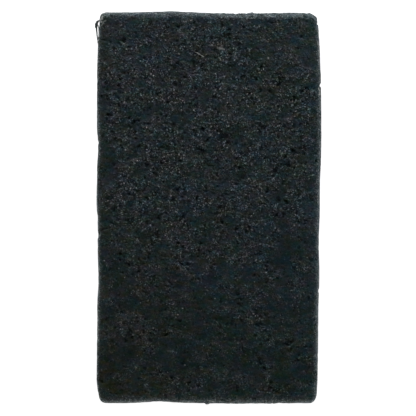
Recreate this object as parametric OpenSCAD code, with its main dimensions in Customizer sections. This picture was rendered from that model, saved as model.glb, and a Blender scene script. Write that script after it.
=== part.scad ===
// Block of pressed charcoal for drawing.
// Powdered charcoal is pressed in a die into one solid brick, so the whole
// object is a single piece: two flat broad faces, four flat sides, rolled
// edges and a few small nicks where the brittle rim has crumbled.
// Millimetres. The block lies on a broad face with Z up and its length along
// Y. The origin is the centre of the face that it rests on.

/* [Block] */
// Length of the block, along Y
block_l = 88.9; // [60:0.1:130]
// Width of the block, along X
block_w = 50.8; // [35:0.1:75]
// Thickness of the block, along Z
block_h = 19; // [12:0.5:30]

/* [Edges] */
// Plan radius of the four upright corners
corner_r = 1.7; // [1.4:0.1:4]
// Radius that rolls the broad faces into the sides
edge_r = 1; // [0.5:0.1:1.2]

/* [Worn rim] */
// Scales the width and depth of every nick in the upper rim
nick_size = 1; // [0.5:0.1:1.2]
// How far below the top face the middle of a nick lies
nick_drop = 1.2; // [0.6:0.1:3]

/* [Hidden] */
$fn = 64;
hw = block_w / 2;
hl = block_l / 2;

// The nicks: [side, share of the way along that side, width, depth].
// The sides are numbered anticlockwise from the one that faces +X, and the
// share runs from -1 to 1 along +Y, or along +X on the two end faces.
nicks = [
    [0,  0.64, 1.8, 0.35],
    [0,  0.94, 1.2, 0.30],
    [1,  0.30, 2.4, 0.20],
    [2, -0.35, 2.0, 0.20],
    [3, -0.44, 3.2, 0.35],
    [3,  0.72, 1.6, 0.20]
];

// A rectangle with round corners, centred.
module plan(w, l, r) {
    square([w, l - 2 * r], center = true);
    square([w - 2 * r, l], center = true);
    for (x = [-1, 1], y = [-1, 1])
        translate([x * (w / 2 - r), y * (l / 2 - r)]) circle(r);
}

// One upright corner: a post of radius corner_r, its ends rolled by edge_r.
module corner_post() {
    rotate_extrude() {
        square([corner_r - edge_r, block_h]);
        translate([0, edge_r]) square([corner_r, block_h - 2 * edge_r]);
        for (z = [edge_r, block_h - edge_r])
            intersection() {
                translate([corner_r - edge_r, z]) circle(edge_r);
                square([corner_r, block_h]);
            }
    }
}

// The brick as it leaves the die.
module pressed_brick() {
    linear_extrude(block_h)
        plan(block_w - 2 * edge_r, block_l - 2 * edge_r, corner_r - edge_r);
    translate([0, 0, edge_r])
        linear_extrude(block_h - 2 * edge_r) plan(block_w, block_l, corner_r);
    for (x = [-1, 1], y = [-1, 1])
        translate([x * (hw - corner_r), y * (hl - corner_r), 0]) corner_post();
    for (z = [edge_r, block_h - edge_r]) {
        for (x = [-1, 1])
            translate([x * (hw - edge_r), 0, z]) rotate([90, 0, 0])
                cylinder(r = edge_r, h = block_l - 2 * corner_r, center = true);
        for (y = [-1, 1])
            translate([0, y * (hl - edge_r), z]) rotate([0, 90, 0])
                cylinder(r = edge_r, h = block_w - 2 * corner_r, center = true);
    }
}

// What one nick takes away: a ball that bites a shallow shell out of the rim.
// Its radius follows from the width w and the depth d of the bite.
module nick(side, along, w, d) {
    even = side % 2 == 0;
    r = (w * w / 4 + d * d) / (2 * d);
    reach = even ? hw : hl;
    run = (even ? hl : hw) - corner_r - w / 2;
    sgn = side < 2 ? 1 : -1;
    x = even ? sgn * (reach + r - d) : along * run;
    y = even ? along * run : sgn * (reach + r - d);
    translate([x, y, block_h - nick_drop]) sphere(r);
}

module charcoal_block() {
    color([0.13, 0.15, 0.155])
        difference() {
            pressed_brick();
            for (n = nicks) nick(n[0], n[1], n[2] * nick_size, n[3] * nick_size);
        }
}

charcoal_block();
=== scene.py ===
"""Pressed charcoal block, lying flat and seen from straight above.

The block is one piece. Its skin is made here as a fine closed mesh: a brick
with rolled edges whose outline wanders a little, open pores and crumbled
nicks cut into it, and a thin burr of pressed skin beside one corner. The
material is procedural. Everything is in metres, in the frame of the CAD node.
"""

import math

import bmesh
import bpy
import numpy as np
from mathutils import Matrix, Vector
from mathutils.kdtree import KDTree


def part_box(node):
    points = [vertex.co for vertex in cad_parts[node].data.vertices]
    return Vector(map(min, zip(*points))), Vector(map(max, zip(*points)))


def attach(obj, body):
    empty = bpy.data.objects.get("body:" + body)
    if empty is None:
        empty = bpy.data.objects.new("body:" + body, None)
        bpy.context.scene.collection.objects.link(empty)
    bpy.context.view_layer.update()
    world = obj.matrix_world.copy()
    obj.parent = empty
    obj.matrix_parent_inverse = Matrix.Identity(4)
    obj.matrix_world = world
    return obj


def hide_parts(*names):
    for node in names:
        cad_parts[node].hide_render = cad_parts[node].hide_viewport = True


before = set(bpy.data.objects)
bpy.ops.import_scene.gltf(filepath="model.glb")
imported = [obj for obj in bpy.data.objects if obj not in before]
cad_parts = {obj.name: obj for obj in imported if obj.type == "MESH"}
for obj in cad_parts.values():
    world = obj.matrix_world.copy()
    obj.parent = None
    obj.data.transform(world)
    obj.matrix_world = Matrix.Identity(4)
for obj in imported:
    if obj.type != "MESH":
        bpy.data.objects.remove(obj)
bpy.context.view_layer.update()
MM = 0.001
lo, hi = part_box("charcoal_block")
W, L, H = [(hi[i] - lo[i]) / MM for i in range(3)]  # 50.8, 88.9, 19 mm
HW, HL = W / 2, L / 2
CORNER_R, EDGE_R = 2.0, 1.1


# ---------------------------------------------------------------- noise tools
def _hash(ix, iy, iz, seed):
    """A repeatable number from 0 to 1 for each integer lattice point."""
    h = (
        ix.astype(np.uint32) * np.uint32(374761393)
        + iy.astype(np.uint32) * np.uint32(668265263)
        + iz.astype(np.uint32) * np.uint32(2147483647)
        + np.uint32((seed * 974711 + 12345) & 0xFFFFFFFF)
    )
    h ^= h >> np.uint32(13)
    h *= np.uint32(1274126177)
    h ^= h >> np.uint32(16)
    h *= np.uint32(2246822519)
    h ^= h >> np.uint32(13)
    return (h >> np.uint32(8)).astype(np.float32) / np.float32(1 << 24)


def noise(p, size, seed):
    """Smooth value noise from -1 to 1, with cells of the given size in mm."""
    q = p / size + 1000.0
    i = np.floor(q).astype(np.int64)
    f = (q - i).astype(np.float32)
    f = f * f * f * (f * (f * 6 - 15) + 10)
    out = np.zeros(len(p), np.float32)
    for dx in (0, 1):
        wx = f[:, 0] if dx else 1 - f[:, 0]
        for dy in (0, 1):
            wy = f[:, 1] if dy else 1 - f[:, 1]
            for dz in (0, 1):
                wz = f[:, 2] if dz else 1 - f[:, 2]
                out += wx * wy * wz * _hash(i[:, 0] + dx, i[:, 1] + dy, i[:, 2] + dz, seed)
    return out * 2 - 1


def fbm(p, size, seed, octaves=3, gain=0.5):
    total, amp, out = 0.0, 1.0, 0.0
    for k in range(octaves):
        out = out + amp * noise(p, size / 2.03**k, seed + 17 * k)
        total += amp
        amp *= gain
    return out / total


def step(x, a, b):
    t = np.clip((x - a) / (b - a), 0, 1)
    return t * t * (3 - 2 * t)


def along(x, xs, ys):
    """A smooth curve through given points, for the wandering outline."""
    xs, ys = np.array(xs, float), np.array(ys, float)
    x = np.clip(x, xs[0], xs[-1])
    k = np.clip(np.searchsorted(xs, x, side="right") - 1, 0, len(xs) - 2)
    t = (x - xs[k]) / (xs[k + 1] - xs[k])
    t = t * t * (3 - 2 * t)
    return ys[k] * (1 - t) + ys[k + 1] * t


# ---------------------------------------------------- the smooth rolled brick
def grid_brick(pitch):
    """A closed quad mesh over the box's six sides: plan and side positions of each vertex, and the faces."""
    nx, ny, nz = (max(8, int(round(s / pitch))) for s in (W, L, H))
    index = {}
    gx = np.linspace(-HW, HW, nx + 1)
    gy = np.linspace(-HL, HL, ny + 1)
    gz = np.linspace(0, H, nz + 1)
    ids = -np.ones((nx + 1, ny + 1, nz + 1), np.int32)
    shell = np.zeros_like(ids, bool)
    shell[[0, -1], :, :] = True
    shell[:, [0, -1], :] = True
    shell[:, :, [0, -1]] = True
    ids[shell] = np.arange(shell.sum())
    ii, jj, kk = np.nonzero(shell)
    co = np.stack([gx[ii], gy[jj], gz[kk]], 1)

    def quads(a, flip):
        q = np.stack([a[:-1, :-1], a[1:, :-1], a[1:, 1:], a[:-1, 1:]], -1).reshape(-1, 4)
        return q[:, ::-1] if flip else q

    faces = np.concatenate(
        [
            quads(ids[:, :, -1], False),
            quads(ids[:, :, 0], True),
            quads(ids[-1, :, :], False),
            quads(ids[0, :, :], True),
            quads(ids[:, 0, :], False),
            quads(ids[:, -1, :], True),
        ]
    )
    on_top = kk == nz
    on_bottom = kk == 0
    on_side = (ii == 0) | (ii == nx) | (jj == 0) | (jj == ny)
    return co, faces, on_top, on_bottom, on_side


def roll(co, on_top, on_bottom, on_side):
    """Rounds the corners in plan and rolls the rims. Gives positions, normals and the roll angle."""
    x, y, z = co[:, 0], co[:, 1], co[:, 2]
    ax, ay = np.abs(x) - (HW - CORNER_R), np.abs(y) - (HL - CORNER_R)
    corner = (ax > 0) & (ay > 0)
    a, b = np.where(corner, ax, 0), np.where(corner, ay, 0)
    m = np.maximum(a, b)
    h = np.maximum(np.hypot(a, b), 1e-9)
    px = np.where(corner, np.sign(x) * ((HW - CORNER_R) + m * a / h), x)
    py = np.where(corner, np.sign(y) * ((HL - CORNER_R) + m * b / h), y)
    dx, dy = HW - np.abs(x), HL - np.abs(y)
    near_x = dx <= dy
    n2x = np.where(corner, np.sign(x) * a / h, np.where(near_x, np.sign(x), 0))
    n2y = np.where(corner, np.sign(y) * b / h, np.where(near_x, 0, np.sign(y)))
    depth = np.where(corner, CORNER_R - m, np.minimum(dx, dy))  # in from the outline
    end = np.minimum(z, H - z)
    up = np.where(z > H / 2, 1.0, -1.0)
    # The upper rim is worn rounder at both ends and on the right, and is sharper on the left.
    rim = 0.65 * n2y**2 + 0.4 * np.clip(n2x, 0, 1) ** 2 - 0.15 * np.clip(-n2x, 0, 1) ** 2
    er = EDGE_R + np.where(up > 0, rim, 0) + 0.2 * noise(np.stack([px, py, z], 1), 9.0, 5)
    er = np.clip(er, 0.6, CORNER_R - 0.05)
    flat = (on_top | on_bottom) & ~on_side
    theta = np.where(
        flat,
        np.where(depth < er, (1 - depth / er) * 45.0, 0.0),
        np.where(end < er, 45.0 + 45.0 * end / er, 90.0),
    )
    theta = np.radians(theta)
    rolled = np.where(flat, depth < er, end < er)
    ox, oy = px + n2x * depth, py + n2y * depth  # on the outline
    qx = np.where(rolled, ox - n2x * er * (1 - np.sin(theta)), px)
    qy = np.where(rolled, oy - n2y * er * (1 - np.sin(theta)), py)
    qz = np.where(rolled, np.where(up > 0, H - er * (1 - np.cos(theta)), er * (1 - np.cos(theta))), z)
    nrm = np.stack([n2x * np.sin(theta), n2y * np.sin(theta), up * np.cos(theta)], 1)
    nrm[~flat & (end >= er), 2] = 0
    return np.stack([qx, qy, qz], 1), nrm, theta


# ------------------------------------------------------------- the worn shape
# How far each side stands off the straight line, in mm, by place along it.
LEFT = ([-44.5, -43, -42.3, -41.2, -39, -29, -22, -17, -10, -3, 1, 8, 13, 20, 30, 35, 36.3, 37.2, 38.6, 41, 43.5, 44.5],
        [-0.85, -0.75, -0.57, -0.35, -0.15, -0.2, -0.2, -0.4, -0.2, -0.2, 0.15, 0.05, -0.15, 0.2, 0.2, 0.12, 0.08, 0.03, -0.08, -0.25, -0.38, -0.5])
RIGHT = ([-44.5, -43.2, -41.6, -39, -30, -24, -15, -8, 0, 6, 12, 20, 28, 34, 37.5, 40.4, 41.6, 43.2, 44.5],
         [-0.7, -0.6, -0.43, -0.3, -0.2, -0.2, -0.05, -0.25, 0.0, -0.05, 0.15, 0.15, 0.05, -0.15, -0.34, -0.52, -0.68, -0.95, -1.1])
FAR = ([-25, -18, -12, -9, -5, -1, 6, 10, 17, 21, 22.6, 25],
       [-0.05, 0.02, 0.2, 0.35, 0.2, 0.0, -0.12, 0.0, 0.13, 0.14, 0.05, -0.16])
NEAR = ([-25, -20, -16, -12, -10, -7, -4, 6, 14, 22, 25],
        [0.26, 0.32, 0.17, -0.06, -0.12, 0.0, 0.12, 0.2, 0.13, 0.0, -0.02])

# The larger open pores of the upper face: x, y, radius, depth, in mm.
PORES = [
    (3.4, 16.1, 1.3, 0.60), (2.3, 17.2, 0.8, 0.50), (4.5, 14.9, 0.7, 0.45),
    (12.1, 18.1, 0.95, 0.60), (11.0, 18.8, 0.6, 0.4), (-1.4, 12.7, 0.85, 0.55),
    (-2.6, 13.3, 0.6, 0.4), (-11.6, 25.7, 0.7, 0.5), (-12.0, 31.7, 0.7, 0.45),
    (-14.0, 9.4, 0.75, 0.5), (2.6, 0.2, 0.8, 0.55), (-1.5, -8.0, 0.8, 0.5),
    (0.2, -9.9, 0.65, 0.5), (1.2, -13.0, 0.65, 0.5), (-12.0, -6.5, 0.65, 0.4),
    (5.5, -26.1, 0.6, 0.4), (11.7, -26.6, 0.95, 0.5), (12.0, -35.0, 0.75, 0.45),
    (15.8, -41.5, 0.7, 0.4), (13.5, -12.0, 0.6, 0.4), (21.0, -7.2, 0.6, 0.4),
    (-19.8, 37.8, 0.75, 0.5), (16.5, 29.8, 0.7, 0.5), (15.2, 29.0, 0.6, 0.4),
    (19.2, 24.8, 0.75, 0.5), (17.6, 1.1, 0.7, 0.5), (1.1, 25.2, 0.75, 0.5),
    (-3.2, 23.0, 0.65, 0.45), (1.7, 22.0, 0.65, 0.45), (-1.8, 35.4, 0.6, 0.4),
    (4.9, 35.1, 0.8, 0.5), (-14.6, 19.3, 0.6, 0.4), (8.2, 12.0, 0.65, 0.4),
    (-7.1, 4.2, 0.7, 0.5), (-17.4, -2.6, 0.65, 0.4), (-8.6, -17.5, 0.65, 0.4),
    (6.8, -19.4, 0.7, 0.4), (-15.5, -29.5, 0.65, 0.4), (-5.3, -35.2, 0.7, 0.4),
    (17.9, -30.8, 0.7, 0.5), (-19.5, -15.0, 0.7, 0.5), (21.4, 13.9, 0.7, 0.5),
    (-3.5, 32.4, 0.6, 0.45), (7.6, 29.4, 0.65, 0.45), (-8.2, 18.8, 0.65, 0.45),
    (14.9, 8.6, 0.65, 0.45), (-18.2, 24.6, 0.6, 0.4), (6.4, 5.6, 0.6, 0.4),
    (9.2, -4.4, 0.65, 0.4), (-6.0, -2.4, 0.6, 0.4), (-11.2, 13.8, 0.6, 0.4),
]

# Pale marks painted on the upper face, some of them painted highlights on the burr and by the far left corner: from x,
# y to x, y, half width, how pale.
MARKS = [
    (-3.5, 35.5, -2.5, 34.95, 0.09, 0.7), (-2.5, 34.95, -1.35, 34.25, 0.11, 0.85),
    (1.75, 36.3, 3.3, 36.0, 0.22, 0.38), (2.2, 35.9, 2.9, 36.35, 0.2, 0.3), (-7.0, 34.95, -6.9, 34.85, 0.18, 0.6),
    (-3.95, 40.5, -3.8, 40.45, 0.17, 0.5), (13.3, 34.1, 13.35, 34.0, 0.17, 0.55),
    (12.0, 2.8, 12.1, 2.75, 0.18, 0.7), (-3.2, 20.35, -3.1, 20.3, 0.17, 0.6),
    (-20.9, 23.2, -20.8, 23.1, 0.17, 0.5), (-19.1, 26.1, -19.0, 26.0, 0.17, 0.4),
    (-25.15, 42.45, -24.45, 42.75, 0.24, 0.9), (-24.5, 43.1, -24.4, 43.3, 0.2, 0.7), (-24.4, 42.0, -23.6, 42.3, 0.16, 0.4),
    (-25.3, 41.1, -25.22, 38.8, 0.14, 0.95), (-24.6, 41.2, -24.1, 41.9, 0.08, 0.6), (-24.7, 42.1, -24.65, 42.0, 0.2, 0.8),
    (24.75, 27.3, 25.1, 26.7, 0.16, 0.75), (24.95, 26.4, 25.2, 25.9, 0.14, 0.7),
    (25.0, 25.9, 25.05, 25.85, 0.2, 0.8), (24.6, 37.9, 24.7, 37.2, 0.2, 0.4),
    (24.85, 35.9, 24.95, 34.6, 0.18, 0.4), (0.0, -43.75, 1.5, -44.15, 0.14, 0.5),
]

# Crumbled places on the upper rim: x, y, radius, depth. The depth is in plan.
NICKS = [
    (HW + 0.05, 28.3, 0.65, 0.42), (HW - 0.1, 42.2, 0.55, 0.4),
    (0.0, -HL, 0.75, -0.3), (-11.5, -HL - 0.1, 1.5, 0.12), (6.0, HL + 0.1, 1.1, 0.16), (-HW, -6.5, 0.9, 0.16),
    (-HW, 14.6, 0.8, 0.14), (16.5, -HL, 0.8, 0.12), (HW, -19.0, 0.8, 0.14), (-23.6, HL - 0.9, 0.5, 0.2),
]


def carve(p, q, nrm, cell, r_lo, r_hi, share, seed, deep, keep=None):
    """Pores where a scatter of hidden bubbles meets the surface. One bubble a cell; gives depth in mm at each vertex."""
    base = np.floor(q / cell).astype(np.int64)
    out = np.zeros(len(q), np.float32)
    for dx in (-1, 0, 1):
        for dy in (-1, 0, 1):
            for dz in (-1, 0, 1):
                i = base + np.array([dx, dy, dz])
                a, b, c = i[:, 0] + 5000, i[:, 1] + 5000, i[:, 2] + 5000
                centre = (i + 0.5 + 0.8 * (np.stack([_hash(a, b, c, seed + s) for s in (1, 2, 3)], 1) - 0.5)) * cell
                size = _hash(a, b, c, seed + 4)
                r = (r_lo + (r_hi - r_lo) * size**2.2) * cell
                on = _hash(a, b, c, seed + 5) < (share if keep is None else share * keep)
                d = np.sqrt(((q - centre) ** 2).sum(1)) / r
                out = np.maximum(out, np.where(on & (d < 1), (1 - d**3) * r * deep, 0))
    return out


def wear(p, nrm, theta):
    """Moves each vertex of the smooth brick to the worn one. Gives positions and the attribute values."""
    x, y, z = p.T
    top = nrm[:, 2] > 0.7
    # The outline wanders, more at the upper rim than lower down.
    low = fbm(p, 14.0, 40, 2)
    hgt = 0.65 + 0.35 * z / H
    sx, sy = np.clip(nrm[:, 0] * 1.0, -1, 1), np.clip(nrm[:, 1] * 1.0, -1, 1)
    reach_x, reach_y = np.clip(np.abs(x) / HW, 0, 1) ** 6, np.clip(np.abs(y) / HL, 0, 1) ** 6
    ox = np.where(x < 0, -along(y, *LEFT), along(y, *RIGHT)) * reach_x * hgt
    oy = np.where(y < 0, -along(x, *NEAR), along(x, *FAR)) * reach_y * hgt
    q = p + np.stack([ox, oy, np.zeros_like(x)], 1)
    # The far left corner is the squarest of the four.
    cornered = step(np.abs(x), HW - 2.3, HW - 0.5) * step(np.abs(y), HL - 2.3, HL - 0.5)
    push = np.where(y > 0, np.where(x < 0, 0.30, 0.0), np.where(x < 0, 0.16, 0.1))
    q[:, :2] += nrm[:, :2] * (push * cornered * hgt)[:, None]
    # How open the skin is: busiest across the upper middle, closed low down, in the corners and near the rim.
    across = np.exp(-(((x + 1.0) / 23.0) ** 4)) * step(y, -20.0, 14.0)
    patches, clumps = fbm(p, 9.0, 61, 3), fbm(p, 2.8, 66, 2)
    rim = step(np.minimum(HW - np.abs(x), HL - np.abs(y)), 0.3, 4.5)
    shy = step(y, 27.0, 41.0) * (step(x, 3.0, 10.0) + step(-x, 10.0, 18.0))
    opens = (0.40 + 0.50 * across + 0.40 * patches + 0.42 * clumps) * (0.45 + 0.55 * rim) * (1 - 0.5 * shy)
    opens = np.clip(opens, 0.05, 1)
    side_skin = step(1 - np.abs(nrm[:, 2]), 0.3, 0.9)
    opens = np.where(side_skin > 0.5, np.clip(0.42 + 0.45 * patches, 0.1, 0.85), opens)
    opens = np.where(nrm[:, 2] < -0.7, np.clip(0.5 + 0.45 * patches, 0.15, 1), opens)

    warp = np.stack([fbm(p, 1.1, 70 + s, 1) * 0.3 + fbm(p, 0.45, 75 + s, 1) * 0.24 for s in range(3)], 1)
    w1, w2 = p + warp, p + warp * 1.5
    d = carve(p, w1, nrm, 2.1, 0.10, 0.34, 0.5, 100, 0.55, opens)
    d = np.maximum(d, carve(p, w1, nrm, 1.25, 0.16, 0.46, 0.85, 200, 0.6, opens))
    d = np.maximum(d, carve(p, p + warp * 0.6, nrm, 0.85, 0.2, 0.48, 0.8, 300, 0.55, opens))
    named = np.zeros(len(p))
    for px, py, r, dep in PORES:
        rr = np.hypot(w2[:, 0] - px, (w2[:, 1] - py) * 1.2) / (1.15 * r)
        named = np.maximum(named, np.where(top & (rr < 1), (1 - rr**2) * dep * 0.62, 0))
    d = np.maximum(d, named)
    # Crumbled nicks, which pull the rim straight in.
    inward = np.zeros_like(p)
    crumble = np.zeros(len(p))
    for cx, cy, r, dep in NICKS:
        rr = np.hypot(p[:, 0] + warp[:, 0] - cx, p[:, 1] + warp[:, 1] - cy) / r
        k = np.where(rr < 1, (1 - rr**2), 0) * step(z, H - 6.5, H - 3.0)
        along_x = abs(abs(cx) - HW) < abs(abs(cy) - HL)
        inward[:, 0 if along_x else 1] -= np.sign(cx if along_x else cy) * dep * k
        crumble = np.maximum(crumble, k)
    # Small chips all round both rims.
    edge = np.exp(-(((np.degrees(theta) - 45) / 30.0) ** 2)) * (np.degrees(theta) > 2) * (np.degrees(theta) < 88)
    chips = np.clip(fbm(p, 1.2, 82, 3) - 0.14, 0, 1) * edge * 0.38
    d = np.maximum(d, chips)
    # Undulation and grain.
    swell = 0.055 * fbm(p, 13.0, 90, 2) + 0.035 * fbm(p, 3.2, 91, 2)
    grain = 0.055 * fbm(p, 0.9, 92, 2) * (0.45 + 0.7 * opens)
    granules = np.clip(fbm(p, 0.6, 95, 1), 0, 1) * 0.06 * opens
    swell = np.where(nrm[:, 2] < -0.7, np.minimum(swell, 0.0), swell)
    # The far rim is crusty from the middle to the right; the others are only a little uneven.
    crust = step(y, HL - 2.2, HL - 0.6) * step(x, -5.0, 1.0) * step(z, H - 3.0, H - 1.2)
    swell = swell + np.clip(fbm(p, 0.8, 97, 2), -0.45, 0.7) * np.clip(0.3 * crust + 0.1 * edge, 0, 0.32)
    out = q + inward + nrm * (swell + grain + granules - d)[:, None]
    return out, np.stack([np.clip(d / 0.35, 0, 1), opens, np.clip(edge + crumble + 0.6 * crust, 0, 1)], 1)


def unfold(me):
    """Relaxes the few places where a pore's wall folds back over itself."""
    bm = bmesh.new()
    bm.from_mesh(me)
    for _ in range(12):
        bm.normal_update()
        tight = {v for e in bm.edges if e.link_faces[0].normal.dot(e.link_faces[1].normal) < -0.2 for v in e.verts}
        if not tight:
            break
        moved = {v: sum((e.other_vert(v).co for e in v.link_edges), Vector()) / len(v.link_edges) for v in tight}
        for v, c in moved.items():
            v.co = v.co.lerp(c, 0.6)
    bm.to_mesh(me)
    bm.free()
    me.update()


def block_mesh():
    pitch = 0.2
    co, faces, on_top, on_bottom, on_side = grid_brick(pitch)
    p, nrm, theta = roll(co, on_top, on_bottom, on_side)
    worn, attr = wear(p, nrm, theta)
    worn[:, 2] = np.maximum(worn[:, 2], 0.0)
    me = bpy.data.meshes.new("charcoal_skin")
    me.vertices.add(len(worn))
    me.vertices.foreach_set("co", (worn * MM).astype(np.float32).ravel())
    me.loops.add(faces.size)
    me.loops.foreach_set("vertex_index", faces.astype(np.int32).ravel())
    me.polygons.add(len(faces))
    me.polygons.foreach_set("loop_start", np.arange(0, faces.size, 4, dtype=np.int32))
    me.update(calc_edges=True)
    me.validate()
    ob = bpy.data.objects.new("charcoal_skin", me)
    bpy.context.scene.collection.objects.link(ob)
    tris = 2 * len(faces)
    target = 196000
    if tris > target:
        thin = ob.modifiers.new("thin", "DECIMATE")
        thin.ratio = target / tris
        dg = bpy.context.evaluated_depsgraph_get()
        thinned = bpy.data.meshes.new_from_object(ob.evaluated_get(dg))
        ob.modifiers.clear()
        ob.data = thinned
        bpy.data.meshes.remove(me)
        me = ob.data
        me.name = "charcoal_skin"
    unfold(me)
    # The attributes and the smooth brick's normal, carried to the thinned mesh by nearest vertex.
    tree = KDTree(len(worn))
    for i, v in enumerate(worn * MM):
        tree.insert(v, i)
    tree.balance()
    n = len(me.vertices)
    flat = np.empty(n * 3, np.float32)
    me.vertices.foreach_get("co", flat)
    near = np.array([tree.find(v)[1] for v in flat.reshape(-1, 3)])
    col = np.ones((n, 4), np.float32)
    col[:, :3] = attr[near]
    layer = me.color_attributes.new("skin", "FLOAT_COLOR", "POINT")
    layer.data.foreach_set("color", col.ravel())
    me.polygons.foreach_set("use_smooth", np.ones(len(me.polygons), bool))
    atlas(me, nrm[near], flat.reshape(-1, 3) / MM)
    me.update()
    return ob


# A thin burr of pressed skin that stands off the left side by the far corner and is held at both ends,
# and a finer one inside it: x, y, height, half width across, half height.
BURRS = [
    [
        (-24.35, 42.75, 17.8, 0.24, 0.36), (-24.98, 42.55, 18.0, 0.22, 0.34), (-25.50, 42.20, 18.1, 0.26, 0.40),
        (-25.82, 41.70, 18.1, 0.33, 0.44), (-25.88, 41.15, 18.0, 0.31, 0.42), (-25.78, 40.5, 17.9, 0.19, 0.36),
        (-25.70, 39.6, 17.8, 0.15, 0.32), (-25.62, 38.7, 17.7, 0.12, 0.28), (-25.52, 37.8, 17.6, 0.10, 0.24),
        (-25.42, 37.1, 17.5, 0.09, 0.22), (-25.22, 36.6, 17.4, 0.08, 0.20), (-24.75, 36.2, 17.3, 0.07, 0.16),
    ],
    [
        (-25.66, 41.75, 18.2, 0.12, 0.20), (-25.36, 41.2, 18.25, 0.13, 0.20), (-25.24, 40.5, 18.2, 0.11, 0.20),
        (-25.22, 39.7, 18.1, 0.10, 0.18), (-25.26, 38.9, 18.0, 0.08, 0.16), (-25.40, 38.2, 17.85, 0.07, 0.14),
        (-25.55, 37.8, 17.7, 0.05, 0.12),
    ],
]


def add_burr(ob, path, lane):
    """One burr as a closed tapering tube whose two ends are buried."""
    me, around = ob.data, 12
    path = np.array(path, float)
    fine = np.linspace(0, len(path) - 1, 6 * (len(path) - 1) + 1)
    pts = np.stack([np.interp(fine, np.arange(len(path)), path[:, k]) for k in range(5)], 1)
    for k in range(1, len(pts) - 1):
        pts[k, :2] = 0.25 * pts[k - 1, :2] + 0.5 * pts[k, :2] + 0.25 * pts[k + 1, :2]
    co, faces = [], []
    for k, (x, y, z, hw, hh) in enumerate(pts):
        d = pts[min(k + 1, len(pts) - 1), :2] - pts[max(k - 1, 0), :2]
        out = np.array([d[1], -d[0]]) / np.hypot(*d)
        rough = noise(np.array([[x, y, z]]), 0.5, 7)[0]
        for j in range(around):
            a = 2 * math.pi * j / around
            w = hw * (1 + 0.35 * rough + 0.15 * math.sin(3 * a + k))
            co.append((x + out[0] * w * math.cos(a), y + out[1] * w * math.cos(a), z + hh * math.sin(a)))
    n = len(pts)
    for k in range(n - 1):
        for j in range(around):
            j2 = (j + 1) % around
            faces.append((k * around + j, k * around + j2, (k + 1) * around + j2, (k + 1) * around + j))
    faces.append(tuple(reversed(range(around))))
    faces.append(tuple((n - 1) * around + j for j in range(around)))
    extra = bpy.data.meshes.new("burr")
    extra.from_pydata([tuple(c * MM for c in v) for v in co], [], faces)
    bm = bmesh.new()
    bm.from_mesh(extra)
    bmesh.ops.recalc_face_normals(bm, faces=bm.faces)
    bm.to_mesh(extra)
    bm.free()
    layer = extra.color_attributes.new("skin", "FLOAT_COLOR", "POINT")
    layer.data.foreach_set("color", np.tile(np.array([0.0, 0.3, 0.5, 1.0], np.float32), len(co)))
    uv = extra.uv_layers.new(name="OFBake")
    side = max(2 * W + 2 * H + 8.0, L + H + 6.0)
    for loop in extra.loops:
        k, j = divmod(loop.vertex_index, around)
        uv.data[loop.index].uv = ((2 * W + 12.0 + 5.0 * lane + 0.25 * j) / side, (L + 8.0 + 0.12 * k) / side)
    extra.polygons.foreach_set("use_smooth", np.ones(len(extra.polygons), bool))
    bm = bmesh.new()
    bm.from_mesh(me)
    bm.from_mesh(extra)
    bm.to_mesh(me)
    bm.free()
    bpy.data.meshes.remove(extra)
    me.update()


def atlas(me, nrm, co):
    """One flat island for each of the six sides, so that a bake has six clean pieces."""
    nl = len(me.loops)
    vi = np.empty(nl, np.int32)
    me.loops.foreach_get("vertex_index", vi)
    start = np.empty(len(me.polygons), np.int32)
    me.polygons.foreach_get("loop_start", start)
    total = np.empty(len(me.polygons), np.int32)
    me.polygons.foreach_get("loop_total", total)
    poly = np.repeat(np.arange(len(start)), total)
    mean = np.zeros((len(start), 3))
    for k in range(3):
        mean[:, k] = np.bincount(poly, nrm[vi][:, k], len(start)) / total
    axis = np.argmax(np.abs(mean), 1)
    sign = np.take_along_axis(mean, axis[:, None], 1)[:, 0] > 0
    a, s = axis[poly], sign[poly]
    x, y, z = co[vi].T
    gap, side = 1.0, max(2 * W + 2 * H + 8.0, L + H + 6.0)
    x, y = x + HW + 0.5, y + HL + 0.5
    u = np.select(
        [(a == 2) & s, (a == 2) & ~s, (a == 0) & s, (a == 0) & ~s, (a == 1) & s, (a == 1) & ~s],
        [x, 2 * W + 1 + gap - x, 2 * W + 3 + H + gap - z, 2 * W + 4 + H + gap + z, x, W + 1 + gap + x],
    )
    v = np.select([a == 2, a == 0, (a == 1) & s, (a == 1) & ~s], [y, y, L + 3 + gap + H - z, L + 3 + z])
    uv = me.uv_layers.new(name="OFBake")
    uv.data.foreach_set("uv", (np.stack([u + 0.5, v + 0.5], 1) / side).astype(np.float32).ravel())
    me.uv_layers.active = uv


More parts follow.
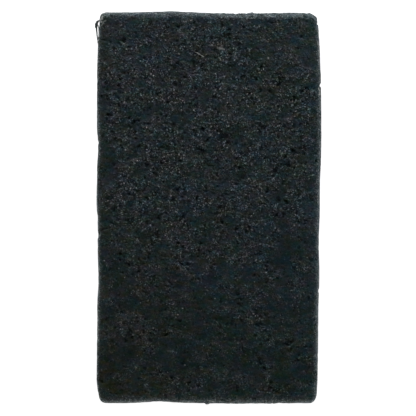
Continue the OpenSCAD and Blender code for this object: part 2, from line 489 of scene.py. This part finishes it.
# ------------------------------------------------------------------- material
def charcoal_material():
    m = bpy.data.materials.new("charcoal_skin")
    m.use_nodes = True
    nt = m.node_tree
    nt.nodes.clear()
    N, link = nt.nodes.new, nt.links.new
    out = N("ShaderNodeOutputMaterial")
    bsdf = N("ShaderNodeBsdfPrincipled")
    link(bsdf.outputs[0], out.inputs["Surface"])
    coord = N("ShaderNodeTexCoord").outputs["Object"]

    def math_(op, a, b=None, clamp=False):
        n = N("ShaderNodeMath")
        n.operation, n.use_clamp = op, clamp
        for i, v in enumerate((a, b)):
            if v is None:
                continue
            if isinstance(v, (int, float)):
                n.inputs[i].default_value = v
            else:
                link(v, n.inputs[i])
        return n.outputs[0]

    def span(v, a, b, c, d, smooth=True):
        n = N("ShaderNodeMapRange")
        n.interpolation_type = "SMOOTHSTEP" if smooth else "LINEAR"
        link(v, n.inputs["Value"])
        for k, x in zip(("From Min", "From Max", "To Min", "To Max"), (a, b, c, d)):
            n.inputs[k].default_value = x
        return n.outputs["Result"]

    def tex(size_mm, detail=2.0, rough=0.5, move=(0, 0, 0), warp=0.0):
        vec = coord
        if any(move):
            mp = N("ShaderNodeMapping")
            mp.inputs["Location"].default_value = move
            link(coord, mp.inputs["Vector"])
            vec = mp.outputs[0]
        n = N("ShaderNodeTexNoise")
        n.inputs["Scale"].default_value = 1 / (size_mm * MM)
        n.inputs["Detail"].default_value = detail
        n.inputs["Roughness"].default_value = rough
        n.inputs["Distortion"].default_value = warp
        link(vec, n.inputs["Vector"])
        return n.outputs["Fac"]

    def mix(f, a, b):
        n = N("ShaderNodeMix")
        n.data_type = "RGBA"
        if isinstance(f, (int, float)):
            n.inputs[0].default_value = f
        else:
            link(f, n.inputs[0])
        for i, v in ((6, a), (7, b)):
            if isinstance(v, tuple):
                n.inputs[i].default_value = (*v, 1)
            else:
                link(v, n.inputs[i])
        return n.outputs[2]

    place = N("ShaderNodeSeparateXYZ")
    link(coord, place.inputs[0])
    px, py = place.outputs[0], place.outputs[1]
    at = N("ShaderNodeAttribute")
    at.attribute_name = "skin"
    parts = N("ShaderNodeSeparateColor")
    link(at.outputs["Color"], parts.inputs[0])
    pit, edge = parts.outputs[0], parts.outputs[2]
    # Millimetre patches of closed, calm skin lie between the open, busy ones.
    calm = span(tex(3.0, 3.0, 0.66, (0.23, 0.61, 0.37)), 0.40, 0.60, 0.22, 1.42)
    opens = math_("MULTIPLY", parts.outputs[1], calm, True)

    def warped(size_mm, move, by):
        """Object space shaken by a small noise, so that what is scattered in it has ragged outlines."""
        mp = N("ShaderNodeMapping")
        mp.inputs["Location"].default_value = move
        link(coord, mp.inputs["Vector"])
        add = N("ShaderNodeVectorMath")
        add.operation = "MULTIPLY_ADD"
        wob = N("ShaderNodeTexNoise")
        wob.inputs["Scale"].default_value = 1 / (size_mm * 0.5 * MM)
        wob.inputs["Detail"].default_value = 1.0
        link(coord, wob.inputs["Vector"])
        link(wob.outputs["Color"], add.inputs[0])
        add.inputs[1].default_value = (size_mm * by * MM,) * 3
        link(mp.outputs[0], add.inputs[2])
        return add.outputs[0]

    def scatter(size_mm, move, by=0.6):
        """One random point in each cell: distance to it in cells, and three random numbers."""
        c = N("ShaderNodeTexVoronoi")
        c.inputs["Scale"].default_value = 1 / (size_mm * MM)
        link(warped(size_mm, move, by), c.inputs["Vector"])
        k = N("ShaderNodeSeparateColor")
        link(c.outputs["Color"], k.inputs[0])
        return c.outputs["Distance"], k.outputs

    def bubbles(size_mm, share, r_lo, r_hi, move):
        """Small open pores. 1 in a pore, 0 outside."""
        dist, rnd = scatter(size_mm, move)
        reach = span(rnd[0], 0.0, 1.0, r_lo, r_hi, False)
        there = math_("LESS_THAN", rnd[1], math_("ADD", math_("MULTIPLY", opens, share), 0.10))
        return math_("MULTIPLY", span(math_("DIVIDE", dist, reach), 0.5, 1.0, 1.0, 0.0), there)

    def grains_and_glints(size_mm, share, move, lo_glow):
        """Small pale specks of mixed brightness, partly pale grains and partly painted glints. 0 to 1."""
        dist, rnd = scatter(size_mm, move, 0.4)
        there = math_("LESS_THAN", rnd[0], math_("MULTIPLY", busy, share))
        reach = span(rnd[2], 0.0, 1.0, 0.22, 0.55, False)
        body = span(math_("DIVIDE", dist, reach), 0.4, 1.0, 1.0, 0.0)
        glow = span(math_("POWER", rnd[1], 2.5), 0.0, 1.0, lo_glow, 1.0, False)
        return math_("MULTIPLY", math_("MULTIPLY", there, body), glow)

    # Soft shades of the pressed skin, then grain: soot between paler grains.
    shade = tex(4.2, 4.0, 0.6, (0.41, 0.27, 0.9))
    col = mix(span(shade, 0.36, 0.64, 0, 1, False), (0.0225, 0.0325, 0.0338), (0.0415, 0.0565, 0.0580))
    rich = span(opens, 0.06, 0.80, 0.08, 1.0, False)
    sooty = span(opens, 0.06, 0.80, 0.46, 1.0, False)
    fine = tex(0.37, 3.0, 0.68, (0.05, 0.02, 0.07))
    fine2 = tex(1.05, 3.0, 0.65, (0.15, 0.32, 0.01))
    col = mix(math_("MULTIPLY", span(fine2, 0.36, 0.50, 0.68, 0.0), sooty), col, (0.0090, 0.0150, 0.0158))
    col = mix(math_("MULTIPLY", span(fine, 0.38, 0.50, 0.92, 0.0), sooty), col, (0.0046, 0.0100, 0.0100))
    col = mix(math_("MULTIPLY", span(fine, 0.52, 0.64, 0.0, 0.95), rich), col, (0.124, 0.132, 0.134))
    # Each crystal, a quarter of a millimetre across, is a little darker or much paler than the next: partly the
    # crystals' own tone, partly painted glints on their facets.
    cell, rnd = scatter(0.255, (0.07, 0.03, 0.01), 0.3)
    facet_tone_and_glint = span(math_("POWER", rnd[0], 7.0), 0.0, 1.0, 0.60, 6.8, False)
    lively = span(py, -0.030, 0.022, 0.76, 1.0)  # fewer pale crystals towards the near end
    depth = math_("MULTIPLY", span(opens, 0.08, 0.85, 0.15, 1.0, False), lively)
    facet_tone_and_glint = math_("ADD", math_("MULTIPLY", math_("SUBTRACT", facet_tone_and_glint, 1.0), depth), 1.0)
    grey = N("ShaderNodeCombineColor")
    warm = math_("ADD", math_("MULTIPLY", math_("SUBTRACT", facet_tone_and_glint, 1.0), 0.034), 1.0)
    for i, v in enumerate((math_("MULTIPLY", facet_tone_and_glint, warm), facet_tone_and_glint, facet_tone_and_glint)):
        link(v, grey.inputs[i])
    facet_tone_and_glint_mix = N("ShaderNodeMix")
    facet_tone_and_glint_mix.data_type, facet_tone_and_glint_mix.blend_type = "RGBA", "MULTIPLY"
    facet_tone_and_glint_mix.inputs[0].default_value = 1.0
    link(col, facet_tone_and_glint_mix.inputs[6])
    link(grey.outputs[0], facet_tone_and_glint_mix.inputs[7])
    col = facet_tone_and_glint_mix.outputs[2]
    hole = math_("MAXIMUM", bubbles(0.62, 1.25, 0.15, 0.55, (0.013, 0.0, 0.02)), bubbles(1.25, 1.0, 0.15, 0.55, (0.2, 0.1, 0.0)))
    # Painted shade in the pores: the small pores drawn here, and the carved ones by their depth, are darkened.
    col = mix(math_("MULTIPLY", hole, 0.76), col, (0.0044, 0.0090, 0.0088))
    col = mix(span(pit, 0.1, 0.9, 0, 0.6), col, (0.0070, 0.0130, 0.0120))

    # Painted light and shade over the upper face: painted shade by the near left corner, painted light along the other
    # margins and at the far right corner.
    upper = span(place.outputs[2], (H - 4.0) * MM, (H - 1.0) * MM, 0.0, 1.0)
    painted_shade_near_left = math_("MULTIPLY", span(px, -0.012, 0.004, 1.0, 0.0), span(py, -0.022, -0.007, 1.0, 0.0))
    painted_shade_near_left = math_("MULTIPLY", painted_shade_near_left, upper)
    left = math_("MULTIPLY", span(px, -0.0250, -0.0216, 1.0, 0.0), upper)
    right = math_("MULTIPLY", span(px, 0.0205, 0.0248, 0.0, 1.0), upper)
    near = math_("MULTIPLY", span(py, -0.0438, -0.0400, 1.0, 0.0), upper)
    far = math_("MULTIPLY", span(py, 0.0428, 0.0440, 0.0, 1.0), upper)
    painted_light_gain = math_("SUBTRACT", 1.0, math_("MULTIPLY", painted_shade_near_left, 0.12))
    for mask, gain in (
        (math_("MULTIPLY", right, span(py, -0.006, 0.022, 1.0, 0.3)), 0.40),
        (math_("MULTIPLY", left, span(py, 0.016, 0.028, 1.0, 0.2)), 0.32),
        (near, 0.32), (math_("MULTIPLY", far, span(px, -0.008, 0.004, 0.3, 1.0)), 0.16),
        (math_("MULTIPLY", math_("MULTIPLY", span(py, 0.0395, 0.0425, 0.0, 1.0), upper), span(px, 0.0195, 0.0232, 0.0, 1.0)), 0.45),
    ):
        painted_light_gain = math_("ADD", painted_light_gain, math_("MULTIPLY", mask, gain))
    shades = N("ShaderNodeVectorMath")
    shades.operation = "SCALE"
    link(col, shades.inputs[0])
    link(painted_light_gain, shades.inputs["Scale"])
    col = shades.outputs[0]

    # Hue: patches of blue green, olive brown and violet in the black, and a painted tint of the lamps' colour: warmer
    # and more olive near and to the left, cooler towards the far end and the right, bluer in the middle. Both are
    # strong in the dark and weak on what is pale, so that grains stay grey.
    calmer = span(upper, 0.0, 1.0, 0.5, 1.0)

    def drawn(size_mm, move):
        mp = N("ShaderNodeMapping")
        mp.inputs["Location"].default_value = move
        mp.inputs["Scale"].default_value = (0.62, 1.0, 1.0)
        link(coord, mp.inputs["Vector"])
        n = N("ShaderNodeTexNoise")
        n.inputs["Scale"].default_value = 1 / (size_mm * MM)
        n.inputs["Detail"].default_value = 1.6
        n.inputs["Roughness"].default_value = 0.55
        link(mp.outputs[0], n.inputs["Vector"])
        return math_("MULTIPLY", math_("SUBTRACT", n.outputs["Fac"], 0.5), calmer)

    red = math_("MULTIPLY", drawn(1.22, (0.31, 0.12, 0.4)), 3.0)
    red = math_("ADD", red, math_("MULTIPLY", math_("SUBTRACT", tex(7.0, 2.0, 0.5, (0.5, 0.7, 0.1)), 0.5), 0.9))
    red = math_("SUBTRACT", red, math_("MULTIPLY", px, 2.4))
    red = math_("ADD", red, math_("ADD", math_("MULTIPLY", painted_shade_near_left, 0.09), math_("MULTIPLY", left, 0.08)))
    red = math_("ADD", red, span(py, -0.030, 0.004, -0.205, -0.190))
    blue = math_("MULTIPLY", drawn(1.22, (0.71, 0.52, 0.2)), 2.3)
    blue = math_("ADD", blue, math_("MULTIPLY", math_("SUBTRACT", tex(8.0, 2.0, 0.5, (0.2, 0.6, 0.8)), 0.5), 0.7))
    blue = math_("ADD", blue, math_("MULTIPLY", span(py, -0.044, 0.010, -0.098, 0.062), calmer))
    blue = math_("ADD", blue, 0.02)
    centre = math_("MULTIPLY", span(px, -0.012, -0.004, 0.0, 1.0), span(py, -0.034, -0.022, 0.0, 1.0))
    centre = math_("MULTIPLY", math_("MULTIPLY", centre, span(py, 0.002, 0.014, 1.0, 0.0)), upper)
    blue = math_("ADD", blue, math_("MULTIPLY", centre, 0.08))
    olive = math_("MULTIPLY", span(px, -0.016, 0.000, 1.0, 0.0), span(py, -0.014, 0.002, 1.0, 0.0))
    blue = math_("SUBTRACT", blue, math_("MULTIPLY", math_("MULTIPLY", olive, upper), 0.13))
    blue = math_("SUBTRACT", blue, math_("MULTIPLY", math_("MULTIPLY", left, span(py, -0.002, 0.006, 0.3, 1.0)), 0.18))
    crown = math_("MULTIPLY", span(px, -0.016, -0.010, 0.0, 1.0), span(px, 0.004, 0.014, 1.0, -1.0))
    crown = math_("MULTIPLY", math_("MULTIPLY", crown, span(py, 0.010, 0.022, 0.0, 1.0)), upper)
    blue = math_("ADD", blue, math_("MULTIPLY", crown, 0.055))
    bright = N("ShaderNodeSeparateColor")
    link(col, bright.inputs[0])
    hold = math_("POWER", math_("MULTIPLY", math_("ADD", bright.outputs[1], 0.004), 24.0), -0.5)
    tint = N("ShaderNodeCombineColor")
    tint.inputs[1].default_value = 1.0
    for i, v in ((0, red), (2, blue)):
        v = math_("ADD", math_("MULTIPLY", v, hold), 1.0)
        link(math_("MINIMUM", math_("MAXIMUM", v, 0.3), 2.0), tint.inputs[i])
    dye_and_painted_tint = N("ShaderNodeMix")
    dye_and_painted_tint.data_type, dye_and_painted_tint.blend_type = "RGBA", "MULTIPLY"
    dye_and_painted_tint.inputs[0].default_value = 1.0
    link(col, dye_and_painted_tint.inputs[6])
    link(tint.outputs[0], dye_and_painted_tint.inputs[7])
    col = dye_and_painted_tint.outputs[2]

    # Pale specks of many sizes, in loose clusters where the skin is open and more along the rims: partly pale mineral
    # grains, partly painted glints.
    cluster = tex(2.6, 3.0, 0.7, (0.6, 0.9, 0.3))
    around = math_("MULTIPLY", span(fine2, 0.38, 0.46, 0.1, 1.0), span(fine2, 0.50, 0.60, 1.0, 0.35))
    busy = math_("MULTIPLY", span(cluster, 0.42, 0.60, 0.22, 1.0), span(opens, 0.1, 0.9, 0.12, 1.0))
    busy = math_("ADD", math_("MULTIPLY", math_("MULTIPLY", busy, around), 1.5), math_("MULTIPLY", edge, 0.7))
    grain_and_glint_speck = math_("MAXIMUM", grains_and_glints(0.30, 0.34, (0.33, 0.0, 0.1), 0.15), grains_and_glints(0.56, 0.24, (0.0, 0.45, 0.2), 0.18))
    col = mix(math_("MULTIPLY", grain_and_glint_speck, lively), col, (0.475, 0.495, 0.505))
    # The rims are paler, in small crumbs: partly rubbed wear, partly a painted highlight along the rolled edge.
    crumb = tex(0.7, 4.0, 0.75, (0.9, 0.1, 0.6))
    rim_wear_and_highlight = math_("MULTIPLY", edge, span(crumb, 0.45, 0.58, 0.0, 0.85))
    col = mix(rim_wear_and_highlight, col, (0.115, 0.160, 0.173))
    # Painted glints along the rims.
    glint = math_("MULTIPLY", edge, span(tex(0.36, 2.5, 0.7, (0.3, 0.5, 0.8)), 0.555, 0.625, 0.0, 0.95))
    col = mix(glint, col, (0.40, 0.44, 0.45))

    # Single marks on the upper face: a pale scratch, a pale bruise, grains caught in the rims, and painted highlights
    # on the burr and by the far left corner.
    flatco = N("ShaderNodeVectorMath")
    flatco.operation = "MULTIPLY"
    link(warped(0.55, (0.0, 0.0, 0.0), 0.5), flatco.inputs[0])
    flatco.inputs[1].default_value = (1, 1, 0)
    high = math_("GREATER_THAN", place.outputs[2], (H - 1.6) * MM)
    for ax, ay, bx, by, half, tone in MARKS:
        rel = N("ShaderNodeVectorMath")
        rel.operation = "SUBTRACT"
        link(flatco.outputs[0], rel.inputs[0])
        rel.inputs[1].default_value = ((ax + 0.14) * MM, (ay + 0.14) * MM, 0)
        dot = N("ShaderNodeVectorMath")
        dot.operation = "DOT_PRODUCT"
        link(rel.outputs[0], dot.inputs[0])
        long2 = max((bx - ax) ** 2 + (by - ay) ** 2, 1e-6)
        dot.inputs[1].default_value = ((bx - ax) / long2 / MM, (by - ay) / long2 / MM, 0)
        t = math_("ADD", dot.outputs["Value"], 0.0, True)
        back = N("ShaderNodeVectorMath")
        back.operation = "SCALE"
        back.inputs[0].default_value = ((bx - ax) * MM, (by - ay) * MM, 0)
        link(t, back.inputs["Scale"])
        off = N("ShaderNodeVectorMath")
        off.operation = "DISTANCE"
        link(rel.outputs[0], off.inputs[0])
        link(back.outputs[0], off.inputs[1])
        mark = span(off.outputs["Value"], half * 0.4 * MM, half * 1.3 * MM, tone, 0.0)
        col = mix(math_("MULTIPLY", mark, high), col, (0.60, 0.60, 0.57))

    link(col, bsdf.inputs["Base Color"])

    rough = span(tex(1.6, 3.0, 0.6, (0.2, 0.1, 0.3)), 0.35, 0.65, 0.40, 0.62)
    rough = math_("ADD", rough, math_("MULTIPLY", math_("MAXIMUM", pit, hole), 0.35), True)
    rough = math_("SUBTRACT", rough, math_("MULTIPLY", edge, 0.10), True)
    link(rough, bsdf.inputs["Roughness"])
    bsdf.inputs["IOR"].default_value = 1.5
    bsdf.inputs["Specular IOR Level"].default_value = 0.3

    h = math_("ADD", math_("MULTIPLY", fine, 0.9), math_("MULTIPLY", tex(0.19, 2.0, 0.6, (0.4, 0.2, 0.1)), 0.35))
    h = math_("ADD", h, math_("MULTIPLY", fine2, 1.2))
    h = math_("SUBTRACT", h, math_("MULTIPLY", hole, 0.6))
    h = math_("MULTIPLY", h, math_("ADD", span(opens, 0.05, 0.8, 0.3, 1.0, False), math_("MULTIPLY", edge, 0.6)))
    h = math_("ADD", h, math_("MULTIPLY", grain_and_glint_speck, 0.15))
    bump = N("ShaderNodeBump")
    bump.inputs["Strength"].default_value = 1.0
    bump.inputs["Distance"].default_value = 0.34 * MM
    link(h, bump.inputs["Height"])
    link(bump.outputs[0], bsdf.inputs["Normal"])
    return m


# ------------------------------------------------------------------ the piece
skin = block_mesh()
for lane, path in enumerate(BURRS):
    add_burr(skin, path, lane)
skin.data.materials.clear()
skin.data.materials.append(charcoal_material())
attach(skin, "root")
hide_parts("charcoal_block")


# ----------------------------------------------------------- floor and lights
def plain_floor():
    me = bpy.data.meshes.new("floor")
    s, n = 3.0, 48
    ring = [(s * math.cos(2 * math.pi * k / n), s * math.sin(2 * math.pi * k / n), 0) for k in range(n)]
    me.from_pydata(ring, [], [list(range(n))])
    ob = bpy.data.objects.new("floor", me)
    bpy.context.scene.collection.objects.link(ob)
    ob.location.z = -0.00002
    m = bpy.data.materials.new("floor")
    m.use_nodes = True
    b = m.node_tree.nodes["Principled BSDF"]
    b.inputs["Base Color"].default_value = (0.9, 0.9, 0.9, 1)
    b.inputs["Roughness"].default_value = 0.9
    b.inputs["Specular IOR Level"].default_value = 0.0
    b.inputs["Emission Color"].default_value = (1, 1, 1, 1)
    # A light table: full strength to the eye and in reflections, less as a lamp for what stands on it.
    path = m.node_tree.nodes.new("ShaderNodeLightPath")
    dim = m.node_tree.nodes.new("ShaderNodeMapRange")
    m.node_tree.links.new(path.outputs["Is Diffuse Ray"], dim.inputs["Value"])
    dim.inputs["To Min"].default_value, dim.inputs["To Max"].default_value = 0.95, 0.3
    m.node_tree.links.new(dim.outputs[0], b.inputs["Emission Strength"])
    me.materials.append(m)


def softbox(name, at, size, power, aim=(0, 0, 0.01), colour=(1, 1, 1)):
    d = bpy.data.lights.new(name, "AREA")
    d.shape, d.size, d.size_y, d.energy, d.color = "RECTANGLE", size[0], size[1], power, colour
    ob = bpy.data.objects.new(name, d)
    bpy.context.scene.collection.objects.link(ob)
    ob.location = at
    ob.rotation_euler = (Vector(aim) - Vector(at)).to_track_quat("-Z", "Y").to_euler()
    ob.visible_camera = False
    return ob


plain_floor()
COOL, WARM = (0.97, 1.0, 1.02), (1.0, 1.0, 0.95)
softbox("key_far", (0.0, 0.27, 0.125), (0.42, 0.14), 0.475, (0, 0, 0.019), COOL)
softbox("fill_right", (0.6, 0.05, 0.2), (0.4, 0.2), 0.28, (0, 0, 0.019), COOL)
softbox("fill_left", (-0.6, 0.05, 0.2), (0.4, 0.2), 0.24, (0, 0, 0.019), COOL)
softbox("fill_near", (-0.1, -0.6, 0.12), (0.5, 0.14), 0.53, (0, 0, 0.019), WARM)

world = bpy.data.worlds.new("studio")
world.use_nodes = True
wn = world.node_tree
bg = wn.nodes["Background"]
geo = wn.nodes.new("ShaderNodeTexCoord")
sep = wn.nodes.new("ShaderNodeSeparateXYZ")
wn.links.new(geo.outputs["Generated"], sep.inputs[0])
ramp = wn.nodes.new("ShaderNodeMapRange")
ramp.interpolation_type = "SMOOTHSTEP"
wn.links.new(sep.outputs["Z"], ramp.inputs["Value"])
for k, v in (("From Min", 0.0), ("From Max", 0.42), ("To Min", 1.0), ("To Max", 0.02)):
    ramp.inputs[k].default_value = v
wn.links.new(ramp.outputs[0], bg.inputs["Strength"])
bg.inputs["Color"].default_value = (0.93, 1.0, 1.03, 1)
bpy.context.scene.world = world

# --------------------------------------------------------------------- camera
SCALE = 94.45 * MM  # what the picture spans, at the level of the upper face
cam_data = bpy.data.cameras.new("camera")
cam_data.lens, cam_data.sensor_width = 150.0, 36.0
cam = bpy.data.objects.new("camera", cam_data)
bpy.context.scene.collection.objects.link(cam)
cam.location = (-0.00014, -0.00008, H * MM + SCALE * cam_data.lens / cam_data.sensor_width)
cam.rotation_euler = (0, 0, math.radians(0.37))
cam_data.clip_start, cam_data.clip_end = 0.01, 20
bpy.context.scene.camera = cam
bpy.context.scene.view_settings.view_transform = "Standard"
